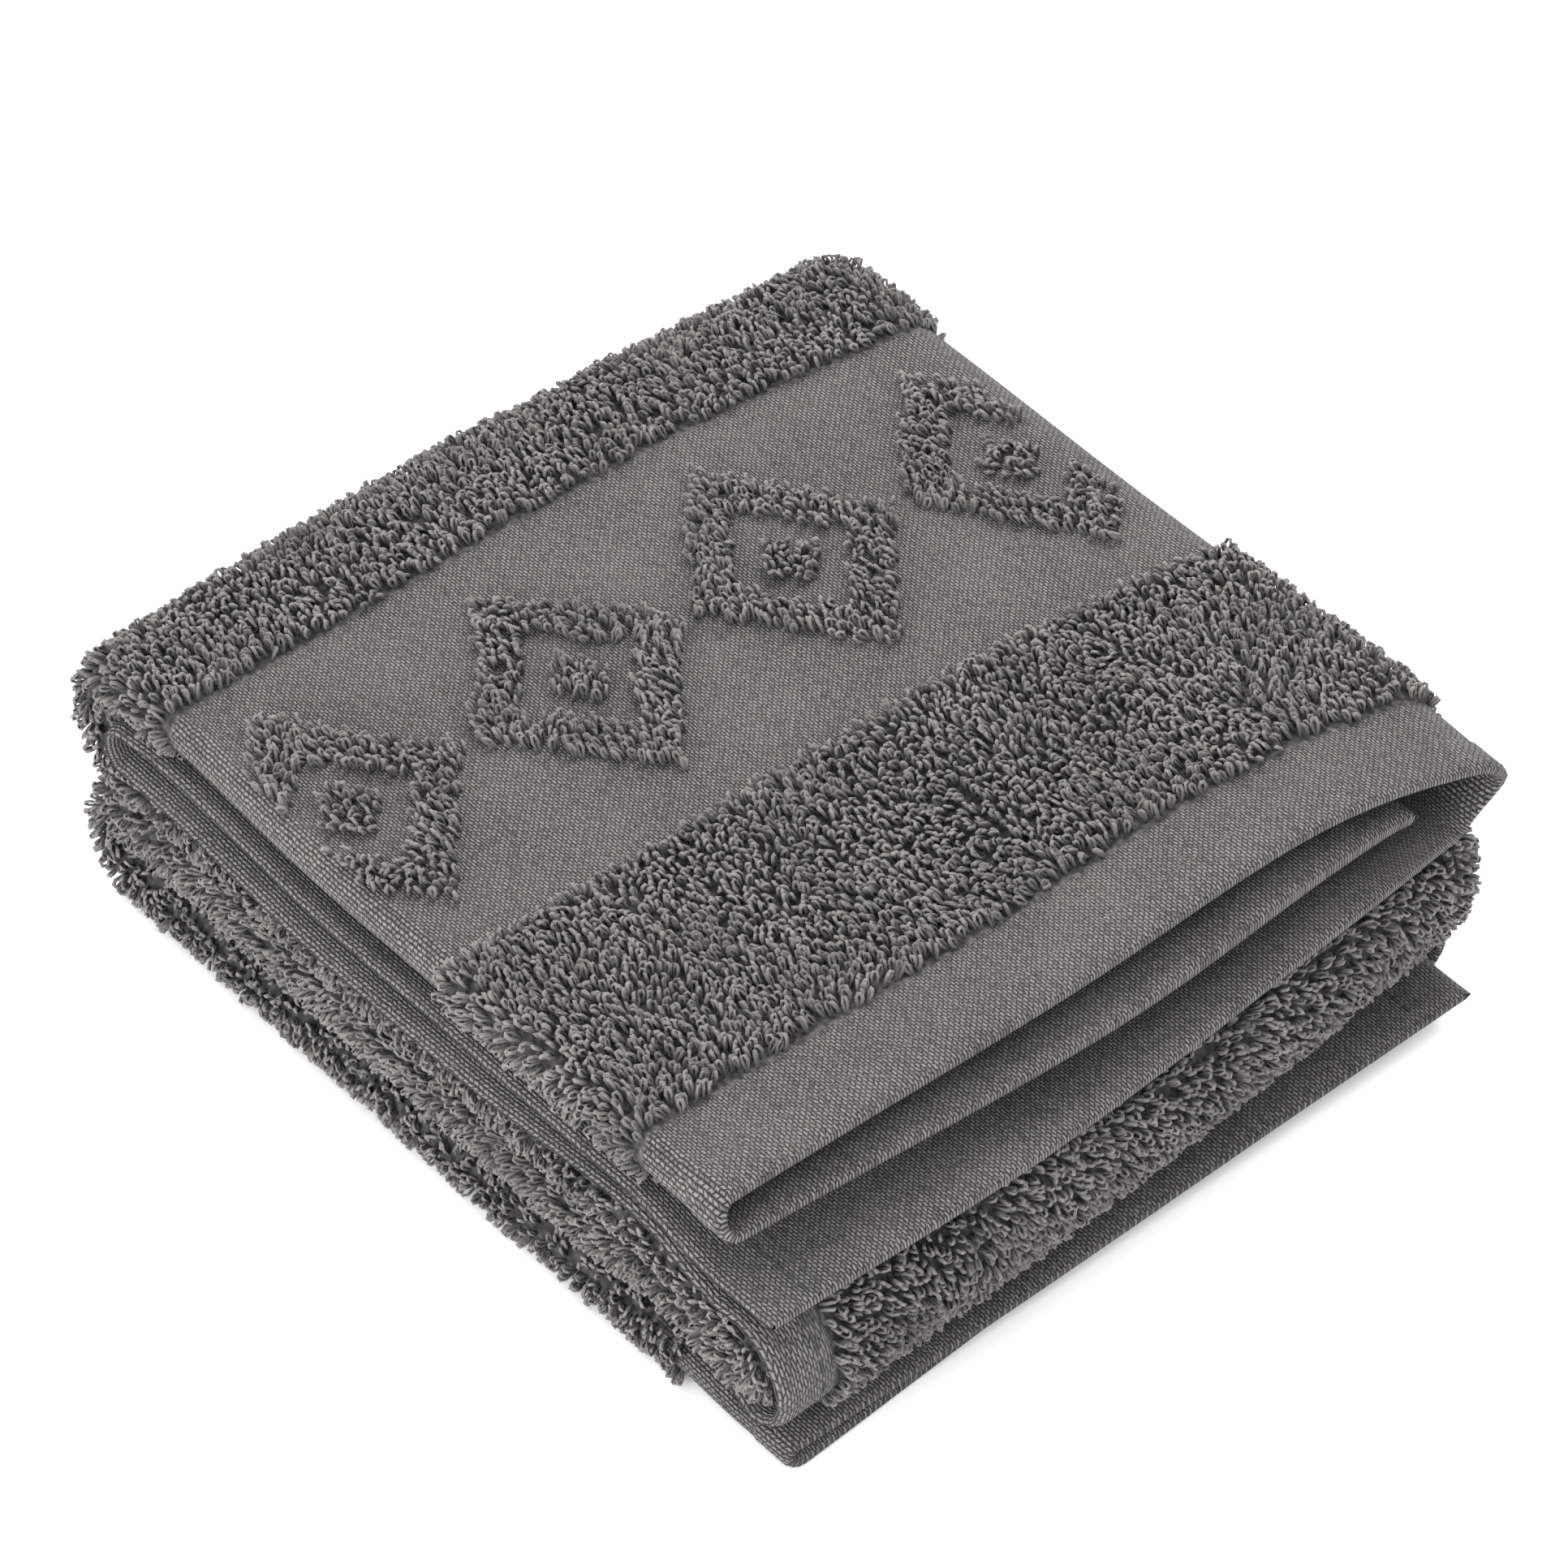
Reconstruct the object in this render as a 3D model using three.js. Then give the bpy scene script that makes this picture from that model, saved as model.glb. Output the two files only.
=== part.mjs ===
import * as THREE from 'three';

// A terry gym towel folded for the shelf, in millimetres with +Z up.
// Its width is folded in thirds: the middle third, the inner third tucked behind it and the outer third
// behind that. The strip of three layers is then folded back and forth along its length in four legs.
// X runs across the stack, from the fold between middle and inner third to the fold between middle and
// outer third. Y runs from the two hems, at the front, to the back folds.

// Cloth
const PILE_HALF = 2.05;
const FLAT_HALF = 1.15;
const SIDE_HEM = 11;
const EDGE_HALF = 0.6;
const EDGE_ROUND = 1.2;
const ZONE_RAMP = 2;

// Zones along the length, from each hem
const HEADER_A = 20;
const BAND_START = 71;
const BAND_END = 151;
const HEADER_B = 24;
const PRESSED = 20;

// Raised pile figures on the woven band: a row of open lozenges, each with a dot
const FIGURE_CELL = { x: 6, v: 7.5 };
const FIGURE_STEPS = 3;
const FIGURE_PITCH = 48;

// Folded width: the centre lines of the folds across X, and the two free side edges
const FOLD_INNER = { x: -80.5, reach: 2.6 };
const FOLD_OUTER = { x: 79.5, reach: 7.8 };
const EDGE_INNER = { hemA: 68, hemB: 81.5 };
const EDGE_OUTER = -84;

// Places along Y where the heights below hold
const BACK_Y = 60;
const CENTRE_BACK_Y = 5;
const CENTRE_Y = -25;
const CENTRE_FRONT_Y = -62;
const FRONT_Y = -84;

// Height of the middle of each layer, by leg from the top, behind, in the centre and at the hems
const LEGS = [
  {
    up: 1,
    back: { middle: 55.6, inner: 50.4, outer: 45.1 },
    centre: { middle: 55.4, inner: 49.3, outer: 43.7 },
    front: { middle: 55.6, inner: 48.4, outer: 39.2 },
  },
  {
    up: -1,
    back: { middle: 30.4, inner: 35.2, outer: 40.0 },
    centre: { middle: 29.7, inner: 34.3, outer: 38.9 },
    front: { middle: 24.2, inner: 28.9, outer: 33.6 },
  },
  {
    up: 1,
    back: { middle: 25.6, inner: 20.9, outer: 16.1 },
    centre: { middle: 25.1, inner: 20.5, outer: 15.9 },
    front: { middle: 19.5, inner: 14.9, outer: 10.3 },
  },
  {
    up: -1,
    back: { middle: PILE_HALF, inner: 6.7, outer: 11.3 },
    centre: { middle: PILE_HALF, inner: 6.7, outer: 11.3 },
    front: { middle: FLAT_HALF, inner: 3.9, outer: 6.4 },
  },
];

// Curves across X: places in X and values at them, joined smoothly
const HEM_A = {
  middle: { x: [-84, 0, 45, 73, 86], y: [-85, -82.4, -82.4, -84.5, -85.5] },
  inner: { x: [-84, 0, 62], y: [-87, -88, -84] },
  outer: { x: [-84, -35, 0, 37, 86], y: [-98.8, -97.5, -94.5, -90.6, -86] },
};
const HEM_B = {
  middle: { x: [-84, -65, 0, 86], y: [-97, -95, -88, -76] },
  inner: { x: [-84, -39, 28, 72], y: [-96, -94, -90, -88] },
  outer: { x: [-84, 0, 86], y: [-80, -77, -75] },
};

// The three turns along the length: how far the outermost layer reaches, and how deep each layer curves
const TURNS = [
  { side: 1, outermost: 'middle', reach: { x: [-84, -40, 20, 86], y: [92, 95, 96.5, 95.5] } },
  { side: -1, outermost: 'outer', reach: { x: [-84, 0, 86], y: [98.6, 91.5, 82.5] } },
  { side: 1, outermost: 'middle', reach: { x: [-84, 0, 86], y: [92.5, 94.5, 93.5] } },
];
const LEG_LENGTH = 180;
const TURN_STEP = 4.75;
const TURN_DEPTH = { outermost: 8.5, inner: 5.6, innermost: 2.3 };
const TURN_RUN_UP = 3;

// Unevenness. Each effect grows between two places of its span.
// The left face leans out at the top, away from the hems, and in at the floor.
const LEAN = { out: 3, in: 2.6, height: 46, left: [20, 84], back: [-78, -15] };

// The top is softly wavy, lifted at its hem and dropped at its right corner
const WAVE = { height: 0.5, up: [6, 50], lengths: [23, 61, 27, 70] };
const HEM_LIFT = { x: 42, y: -84, width: 34, depth: 26, height: 3.2, up: [44, 52] };
const CORNER_DROP = { x: 88, y: -86, width: 16, depth: 22, height: -3.4, up: [40, 56] };

// The front end of the right face is drawn in, most under the fold of the top layers: by height
const DRAWN_IN = {
  x: [0, 20, 40, 45, 52, 58],
  y: [4, 3.7, 5, 7, 0.6, -0.4],
  right: [50, 84],
  front: [50, 84],
};

// Steps along the length, as distances from the hems, and counts in the turns and hidden legs
const HEADER_A_STEPS = [0, EDGE_ROUND, 10, HEADER_A - 1];
const FRONT_PILE_STEPS = [HEADER_A + 1, 30, 42, 56, BAND_START - 1];
const HEM_B_STEPS = [HEADER_B + PRESSED, HEADER_B, 12, EDGE_ROUND, 0];
const TURN_COUNT = 5;
const LEG_PLACES = [BACK_Y, CENTRE_BACK_Y, CENTRE_Y];
const FRONT_SHARES = [0, 1 / 3, 2 / 3, 1];

// Steps across the width, where the figures don't set them, counts in its folds, and how far apart layers lie
const WIDTH_STEP = 20;
const FOLD_COUNTS = { outside: { inner: 5, outer: 6 }, inside: { inner: 3, outer: 4 } };
const LAYER_GAP = 5;

const clamp = (value, low, high) => Math.min(Math.max(value, low), high);
const mix = (a, b, t) => a + (b - a) * t;
const smooth = (t) => t * t * (3 - 2 * t);
const ease = (value, from, to) => smooth(clamp((value - from) / (to - from), 0, 1));
const bump = (value, centre, width) => Math.exp(-(((value - centre) / width) ** 2));

function alongCurve(curve, x) {
  const last = curve.x.length - 1;
  let i = 0;
  while (i < last - 1 && x > curve.x[i + 1]) i += 1;
  const t = clamp((x - curve.x[i]) / (curve.x[i + 1] - curve.x[i]), 0, 1);
  const slope = (k) => {
    const a = Math.max(k - 1, 0);
    const b = Math.min(k + 1, last);
    return (curve.y[b] - curve.y[a]) / (curve.x[b] - curve.x[a]);
  };
  const span = curve.x[i + 1] - curve.x[i];
  const t2 = t * t;
  const t3 = t2 * t;
  return (2 * t3 - 3 * t2 + 1) * curve.y[i] + (t3 - 2 * t2 + t) * span * slope(i)
    + (3 * t2 - 2 * t3) * curve.y[i + 1] + (t3 - t2) * span * slope(i + 1);
}

// A layer is a number: 1 for the middle third, 0 for the inner one and -1 for the outer one.
// Between them the cloth is in a fold, and the values are mixed.
function byLayer(layer, values) {
  if (layer >= 0) return mix(values.inner, values.middle, layer);
  return mix(values.inner, values.outer, -layer);
}

// Past the fold between middle and outer third the inner third is skipped
function acrossFold(layer, values) {
  return mix(values.outer, values.middle, (layer + 1) / 2);
}

// The heights stop changing a little behind the curve of the front turn's innermost layer
function frontStop(x) {
  return -(alongCurve(TURNS[1].reach, x) - 2 * TURN_STEP - TURN_DEPTH.innermost - TURN_RUN_UP);
}

function legHeight(leg, point, y) {
  const pick = point.skipsInner ? acrossFold : byLayer;
  const back = pick(point.layer, leg.back);
  const centre = pick(point.layer, leg.centre);
  const front = pick(point.layer, leg.front);
  if (y > CENTRE_BACK_Y) return mix(centre, back, ease(y, CENTRE_BACK_Y, BACK_Y));
  return mix(centre, front, ease(-Math.max(y, frontStop(point.x)), -CENTRE_FRONT_Y, -FRONT_Y));
}

function hemPlace(hem, point) {
  const pick = point.skipsInner ? acrossFold : byLayer;
  return pick(point.layer, {
    middle: alongCurve(hem.middle, point.x),
    inner: alongCurve(hem.inner, point.x),
    outer: alongCurve(hem.outer, point.x),
  });
}

// Each turn nests the three layers: a layer's furthest place in Y, and the depth of its curve
function turnShape(turn, point) {
  const inside = turn.outermost === 'middle' ? (1 - point.layer) : (1 + point.layer);
  const reach = alongCurve(turn.reach, point.x) - TURN_STEP * inside;
  const depth = inside < 1
    ? mix(TURN_DEPTH.outermost, TURN_DEPTH.inner, inside)
    : mix(TURN_DEPTH.inner, TURN_DEPTH.innermost, inside - 1);
  return { reach, depth, centre: turn.side * (reach - depth) };
}

// The figures: 1 on the stroke of a lozenge or its dot, 0 on the bare band
function figure(x, v) {
  const middle = (BAND_START + BAND_END) / 2;
  const across = Math.abs((((x % FIGURE_PITCH) + FIGURE_PITCH) % FIGURE_PITCH) - FIGURE_PITCH / 2);
  const steps = across / FIGURE_CELL.x + Math.abs(v - middle) / FIGURE_CELL.v;
  const stroke = clamp(1 - Math.abs(steps - FIGURE_STEPS), 0, 1);
  const dot = clamp(1 - steps, 0, 1);
  return Math.max(stroke, dot);
}

// 1 inside a zone and 0 outside it, with a short ramp
const after = (value, start) => ease(value, start - ZONE_RAMP / 2, start + ZONE_RAMP / 2);

// Half the cloth's thickness on one face, from the distances to both hems and to the nearer side edge
function halfThickness(point, fromHemA, fromHemB) {
  const inBand = after(fromHemA, BAND_START) * (1 - after(fromHemA, BAND_END));
  const alongLength = after(fromHemA, HEADER_A) * ease(fromHemB, HEADER_B, HEADER_B + PRESSED);
  const terry = alongLength * after(point.fromEdge, SIDE_HEM) * (1 - inBand);
  const raised = point.figured ? figure(point.x, fromHemA) * inBand : 0;
  const nearHem = ease(Math.min(fromHemA, fromHemB), 0, EDGE_ROUND);
  return mix(EDGE_HALF, FLAT_HALF, nearHem) + (PILE_HALF - FLAT_HALF) * (terry + raised);
}

const evenly = (from, to, step) => {
  const count = Math.max(1, Math.round(Math.abs(to - from) / step));
  return Array.from({ length: count + 1 }, (_, i) => mix(from, to, i / count));
};

// Places in X on one face of the middle third: every column of the figures on the outside face
function middlePlaces(isOutside) {
  if (!isOutside) return evenly(FOLD_INNER.x, FOLD_OUTER.x, WIDTH_STEP);
  const last = Math.floor(Math.min(-FOLD_INNER.x, FOLD_OUTER.x) / FIGURE_CELL.x) * FIGURE_CELL.x;
  return [FOLD_INNER.x, ...evenly(-last, last, FIGURE_CELL.x), FOLD_OUTER.x];
}

// One face of the section across the width, from the inner third's free edge to the outer third's.
// Each point has its layer, the way its face looks and its distance along the width.
function sectionFace(side, foldCount) {
  const points = [];
  const add = (x, layer, nx, nz, more = {}) => {
    const before = points[points.length - 1];
    const moved = before ? Math.hypot(x - before.x, (layer - before.layer) * LAYER_GAP) : 0;
    points.push({ x, layer, nx: side * nx, nz: side * nz, u: before ? before.u + moved : 0, ...more });
  };
  const free = EDGE_INNER.hemA;
  const hem = [SIDE_HEM - ZONE_RAMP / 2, SIDE_HEM + ZONE_RAMP / 2];
  for (const x of [free, free - hem[0], ...evenly(free - hem[1], FOLD_INNER.x, WIDTH_STEP)]) {
    const drift = (EDGE_INNER.hemB - free) * ((x - FOLD_INNER.x) / (free - FOLD_INNER.x));
    add(x, 0, 0, -1, { fromEdge: free - x, drift });
  }
  for (let i = 1; i < foldCount.inner; i += 1) {
    const turn = (i / foldCount.inner) * Math.PI;
    const x = FOLD_INNER.x - FOLD_INNER.reach * Math.sin(turn);
    add(x, (1 - Math.cos(turn)) / 2, -Math.sin(turn), -Math.cos(turn));
  }
  for (const x of middlePlaces(side > 0)) add(x, 1, 0, 1, { figured: side > 0 });
  for (let i = 1; i < foldCount.outer; i += 1) {
    const turn = (i / foldCount.outer) * Math.PI;
    const x = FOLD_OUTER.x + FOLD_OUTER.reach * Math.sin(turn);
    add(x, Math.cos(turn), Math.sin(turn), Math.cos(turn), { skipsInner: true });
  }
  const flat = evenly(FOLD_OUTER.x, EDGE_OUTER + hem[1], WIDTH_STEP);
  for (const x of [...flat, EDGE_OUTER + hem[0], EDGE_OUTER]) {
    add(x, -1, 0, -1, { fromEdge: x - EDGE_OUTER });
  }
  return points.map((point) => ({ fromEdge: Infinity, drift: 0, figured: false, ...point }));
}

const turnSteps = (turn) => evenly(0, Math.PI, Math.PI / TURN_COUNT).map((angle) => ({ turn, angle }));

// The steps along the length: in a leg by distance from a hem or by place, and in a turn by angle
function lengthSteps() {
  const figures = [];
  const middle = (BAND_START + BAND_END) / 2;
  for (let j = -FIGURE_STEPS - 1; j <= FIGURE_STEPS + 1; j += 1) figures.push(middle + j * FIGURE_CELL.v);
  const band = [BAND_START + 1, ...figures, BAND_END - 1];
  const fromHemA = [...HEADER_A_STEPS, ...FRONT_PILE_STEPS, ...band, BAND_END + 1];
  const steps = fromHemA.map((v) => ({ leg: 0, fromHemA: v }));
  const places = LEG_PLACES.map((y) => ({ y }));
  const forward = [...places, ...FRONT_SHARES.map((front) => ({ front }))];
  steps.push(...turnSteps(0), ...forward.map((place) => ({ leg: 1, ...place })));
  steps.push(...turnSteps(1), ...[...forward].reverse().map((place) => ({ leg: 2, ...place })));
  steps.push(...turnSteps(2), ...places.map((place) => ({ leg: 3, ...place })));
  return [...steps, ...HEM_B_STEPS.map((v) => ({ leg: 3, fromHemB: v }))];
}

// How far along the length a step is, from 0 at the first hem to 1 at the last
function progress(step) {
  if (step.turn !== undefined) return (step.turn + 1) / LEGS.length;
  if (step.fromHemA !== undefined) return step.fromHemA / LEG_LENGTH / LEGS.length;
  if (step.fromHemB !== undefined) return 1 - step.fromHemB / LEG_LENGTH / LEGS.length;
  const y = step.y ?? CENTRE_FRONT_Y - step.front * (LEG_LENGTH / 2 + CENTRE_FRONT_Y);
  const fromBack = 0.5 - y / LEG_LENGTH;
  return (step.leg + (step.leg === 2 ? 1 - fromBack : fromBack)) / LEGS.length;
}

// The middle of the cloth at a section point and a step, and the way its normal points in the YZ plane
function clothMiddle(point, step) {
  if (step.turn !== undefined) {
    const turn = TURNS[step.turn];
    const { depth, centre } = turnShape(turn, point);
    const top = legHeight(LEGS[step.turn], point, centre);
    const bottom = legHeight(LEGS[step.turn + 1], point, centre);
    const out = Math.sin(step.angle);
    const up = Math.cos(step.angle);
    const outward = LEGS[step.turn].up;
    return {
      y: centre + turn.side * depth * out,
      z: (top + bottom) / 2 + ((top - bottom) / 2) * up,
      normal: { y: outward * turn.side * out, z: outward * up },
    };
  }
  const leg = LEGS[step.leg];
  let y = step.y;
  if (step.fromHemA !== undefined) y = hemPlace(HEM_A, point) + step.fromHemA;
  else if (step.fromHemB !== undefined) y = hemPlace(HEM_B, point) + step.fromHemB;
  else if (step.front !== undefined) y = mix(CENTRE_FRONT_Y, frontStop(point.x), step.front);
  return { y, z: legHeight(leg, point, y), normal: { y: 0, z: leg.up } };
}

function mound(shape, p) {
  const height = shape.height * ease(p.z, ...shape.up);
  return height * bump(p.x, shape.x, shape.width) * bump(p.y, shape.y, shape.depth);
}

function wave(p) {
  const [a, b, c, d] = WAVE.lengths;
  return WAVE.height * ease(p.z, ...WAVE.up) * (Math.sin(p.x / a + p.y / b) + Math.sin(p.y / c - p.x / d));
}

function uneven(p) {
  const height = clamp(p.z / LEAN.height, 0, 1);
  const out = LEAN.out * height * ease(-p.y, ...LEAN.back);
  p.x += ease(-p.x, ...LEAN.left) * (LEAN.in * (1 - height) - out);
  p.x -= alongCurve(DRAWN_IN, p.z) * ease(p.x, ...DRAWN_IN.right) * ease(-p.y, ...DRAWN_IN.front);
  p.z += mound(HEM_LIFT, p) + mound(CORNER_DROP, p);
  p.z += wave(p);
  return p;
}

function surfacePoint(sectionPoint, step) {
  const point = { ...sectionPoint, x: sectionPoint.x + sectionPoint.drift * progress(step) };
  const middle = clothMiddle(point, step);
  const half = point.isEdge
    ? EDGE_ROUND
    : halfThickness(point, step.fromHemA ?? Infinity, step.fromHemB ?? Infinity);
  return uneven(new THREE.Vector3(
    point.x + point.nx * half,
    middle.y + point.nz * middle.normal.y * half,
    middle.z + point.nz * middle.normal.z * half,
  ));
}

// The two faces meet at the free side edges. At a hem they are closed by a strip between the faces,
// which steps along whichever face is behind.
function hemStrip(outside, inside, edges) {
  const triangles = [[outside[0].id, edges.inner, inside[0].id]];
  let i = 0;
  let j = 0;
  while (i < outside.length - 1 || j < inside.length - 1) {
    const canOutside = i < outside.length - 1;
    const canInside = j < inside.length - 1;
    if (canOutside && (!canInside || outside[i + 1].u <= inside[j + 1].u)) {
      triangles.push([outside[i + 1].id, outside[i].id, inside[j].id]);
      i += 1;
    } else {
      triangles.push([inside[j].id, inside[j + 1].id, outside[i].id]);
      j += 1;
    }
  }
  triangles.push([outside[i].id, inside[j].id, edges.outer]);
  return triangles;
}

// Of a quad's two diagonals, the one that joins two raised corners, or else misses a lone raised one
function joinsFirst(a, b, c, d) {
  const first = Math.min(a, c);
  const second = Math.min(b, d);
  return first === second ? a + c <= b + d : first > second;
}

// The closed skin: a ring at every step, joined, and both hem ends filled
function towelGeometry() {
  const outside = sectionFace(1, FOLD_COUNTS.outside);
  const inside = sectionFace(-1, FOLD_COUNTS.inside);
  const outerEdge = { ...outside[outside.length - 1], nx: -1, nz: 0, isEdge: true };
  const innerEdge = { ...outside[0], nx: 1, nz: 0, isEdge: true };
  const ring = [...outside, outerEdge, ...[...inside].reverse(), innerEdge];
  ring.forEach((point, i) => Object.assign(point, { id: i }));
  const steps = lengthSteps();
  const positions = [];
  const raised = [];
  for (const step of steps) {
    for (const point of ring) {
      const p = surfacePoint(point, step);
      positions.push(p.x, p.y, Math.max(p.z, 0));
      raised.push(point.figured && step.fromHemA !== undefined ? figure(point.x, step.fromHemA) : 0);
    }
  }
  const indices = [];
  const size = ring.length;
  for (let s = 0; s + 1 < steps.length; s += 1) {
    for (let i = 0; i < size; i += 1) {
      const a = s * size + i;
      const b = s * size + ((i + 1) % size);
      const c = b + size;
      const d = a + size;
      if (joinsFirst(raised[a], raised[b], raised[c], raised[d])) indices.push(a, b, c, a, c, d);
      else indices.push(a, b, d, b, c, d);
    }
  }
  const last = (steps.length - 1) * size;
  for (const [a, b, c] of hemStrip(outside, inside, { outer: outerEdge.id, inner: innerEdge.id })) {
    indices.push(a, b, c, last + a, last + c, last + b);
  }
  const geometry = new THREE.BufferGeometry();
  geometry.setAttribute('position', new THREE.Float32BufferAttribute(positions, 3));
  geometry.setIndex(indices);
  geometry.computeBoundingBox();
  const centre = geometry.boundingBox.getCenter(new THREE.Vector3());
  geometry.translate(-centre.x, -centre.y, -geometry.boundingBox.min.z);
  geometry.computeVertexNormals();
  return geometry;
}

const terry = new THREE.MeshStandardMaterial({ color: 0x5a5856, roughness: 0.95, metalness: 0 });
const towel = new THREE.Mesh(towelGeometry(), terry);
towel.name = 'towel';

const folded = new THREE.Group();
folded.add(towel);

export default folded;
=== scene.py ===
import math

import bpy
import numpy as np
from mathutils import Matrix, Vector
from mathutils.bvhtree import BVHTree


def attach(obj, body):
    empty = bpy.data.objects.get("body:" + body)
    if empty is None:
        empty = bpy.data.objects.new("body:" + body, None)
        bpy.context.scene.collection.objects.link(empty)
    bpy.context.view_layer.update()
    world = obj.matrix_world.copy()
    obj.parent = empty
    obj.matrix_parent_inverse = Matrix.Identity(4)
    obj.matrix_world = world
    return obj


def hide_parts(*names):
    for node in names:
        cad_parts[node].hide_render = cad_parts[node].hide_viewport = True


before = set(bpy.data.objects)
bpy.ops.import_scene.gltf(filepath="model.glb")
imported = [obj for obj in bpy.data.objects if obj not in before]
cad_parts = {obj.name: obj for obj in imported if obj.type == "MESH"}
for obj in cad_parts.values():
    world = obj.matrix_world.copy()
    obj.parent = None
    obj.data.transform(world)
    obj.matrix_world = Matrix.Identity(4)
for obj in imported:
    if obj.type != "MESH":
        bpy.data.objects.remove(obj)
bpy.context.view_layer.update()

# Sizes in millimetres, in the fold's own frame: X across the stack, Y from the hems to the back folds
MM = 0.001
SOURCE_CENTRE = (0.711, -0.6186, 0.0)
FAR = 999.0

# The cloth
PILE_HALF = 2.05
FLAT_HALF = 1.15
THIN_HALF = 0.9
ROOT_HALF = 1.0
SIDE_HEM = 11
TURNED_HEM = 8.5
EDGE_HALF = 0.6
EDGE_ROUND = 1.2
HEADER_A = 20
BAND_START = 71
BAND_END = 151
HEADER_B = 24
PRESSED = 20

# The pile figures on the woven band: open lozenges with a dot
FIGURE_CELL = (6, 7.5)
FIGURE_STEPS = 3
FIGURE_PITCH = 48
FIGURE_STROKE = 0.86
FIGURE_DOT = 1.0

# The folded width
FOLD_INNER_X, FOLD_INNER_REACH = -80.5, 2.6
FOLD_OUTER_X, FOLD_OUTER_REACH = 79.5, 7.8
EDGE_INNER_HEM_A, EDGE_INNER_HEM_B = 68, 81.5
EDGE_OUTER = -84
LAYER_GAP = 5

# The left face. In the lower two legs the outer third's edge is drawn in, by share of the length, and
# the folds bulge over it. In the second leg that edge juts out and droops.
EDGE_OUTER_IN = ((0.22, 0.26, 0.4, 0.47, 0.505, 0.53), (0, -1.5, -1.5, 0, 0, 10))
LEFT_RISE = {
    1: {"inner": 0, "outer": -3, "across": (76, 90), "along": (-60, -20)},
    2: {"inner": -4.2, "outer": 0, "across": (74, 81), "along": (-68, -48)},
    3: {"inner": 3.6, "outer": 0, "across": (74, 81), "along": (-68, -48)},
}

# Heights of the layer middles by leg: which way up, then middle, inner and outer third behind, in the
# centre and in front
BACK_Y, CENTRE_BACK_Y, CENTRE_FRONT_Y, FRONT_Y = 60, 5, -62, -84
LEG_LENGTH = 180
LEGS = [
    (1, (55.6, 50.4, 45.1), (55.4, 49.3, 43.7), (55.6, 48.4, 39.2)),
    (-1, (30.4, 35.2, 40.0), (29.7, 34.3, 38.9), (24.2, 28.9, 33.6)),
    (1, (25.6, 20.9, 16.1), (25.1, 20.5, 15.9), (19.5, 14.9, 10.3)),
    (-1, (PILE_HALF, 6.7, 11.3), (PILE_HALF, 6.7, 11.3), (FLAT_HALF, 3.9, 6.4)),
]
# Curves across X for the middle, inner and outer third: places in X and places in Y
HEM_A = [
    ((-84, 0, 45, 73, 86), (-85, -82.4, -82.4, -84.5, -85.5)),
    ((-84, 0, 62), (-87, -88, -84)),
    ((-84, -35, 0, 37, 86), (-98.8, -97.5, -94.5, -90.6, -86)),
]
HEM_B = [
    ((-84, -65, 0, 86), (-97, -95, -88, -76)),
    ((-84, -39, 28, 72), (-96, -94, -90, -88)),
    ((-84, 0, 86), (-80, -77, -75)),
]
# The turns: side in Y, whether the middle third is outermost, and the outermost third's reach
TURNS = [
    (1, True, ((-84, -40, 20, 86), (92, 95, 96.5, 95.5))),
    (-1, False, ((-84, 0, 86), (98.6, 91.5, 82.5))),
    (1, True, ((-84, 0, 86), (92.5, 94.5, 93.5))),
]
TURN_STEP = 4.75
TURN_DEPTHS = (8.5, 5.6, 2.3)
TURN_RUN_UP = 3

# Unevenness of the whole stack
LEAN_OUT, LEAN_IN, LEAN_HEIGHT, WAVE = 3, 2.6, 46, 0.5
HEM_LIFT = (42, -84, 34, 26, 3.2)
CORNER_DROP = (88, -86, 16, 22, 3.4)
DRAWN_IN = ((0, 20, 40, 45, 52, 58), (4, 3.7, 5, 7, 0.6, -0.4))

# How finely the cloth is built
COLUMN_STEP = 5.5
ROW_STEP = 5.0
TURN_ROWS = 10


def mix(a, b, t):
    return a + (b - a) * t


def ease(value, start, end):
    t = np.clip((value - start) / (end - start), 0, 1)
    return t * t * (3 - 2 * t)


def bump(value, centre, width):
    return np.exp(-(((value - centre) / width) ** 2))


def along_curve(curve, x):
    """A smooth curve through the points of curve, given as their places and their values."""
    xs, ys = (np.array(c, float) for c in curve)
    before = np.maximum(np.arange(len(xs)) - 1, 0)
    after = np.minimum(np.arange(len(xs)) + 1, len(xs) - 1)
    slope = (ys[after] - ys[before]) / (xs[after] - xs[before])
    i = np.searchsorted(xs[1:-1], x)
    span = xs[i + 1] - xs[i]
    t = np.clip((x - xs[i]) / span, 0, 1)
    t2, t3 = t * t, t * t * t
    near = (2 * t3 - 3 * t2 + 1) * ys[i] + (t3 - 2 * t2 + t) * span * slope[i]
    return near + (3 * t2 - 2 * t3) * ys[i + 1] + (t3 - t2) * span * slope[i + 1]


def normalised(v):
    return v / np.maximum(np.linalg.norm(v, axis=-1, keepdims=True), 1e-9)


def noise(u, v, scale, seed):
    """Smooth noise from 0 to 1 over the plane, with features of the given size."""
    table = np.random.default_rng(seed).random((64, 64))
    x, y = u / scale, v / scale
    i, j = np.floor(x).astype(int), np.floor(y).astype(int)
    fx, fy = x - i, y - j
    fx, fy = fx * fx * (3 - 2 * fx), fy * fy * (3 - 2 * fy)
    corner = lambda a, b: table[(i + a) % 64, (j + b) % 64]
    return mix(mix(corner(0, 0), corner(1, 0), fx), mix(corner(0, 1), corner(1, 1), fx), fy)


# The section across the folded width


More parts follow.
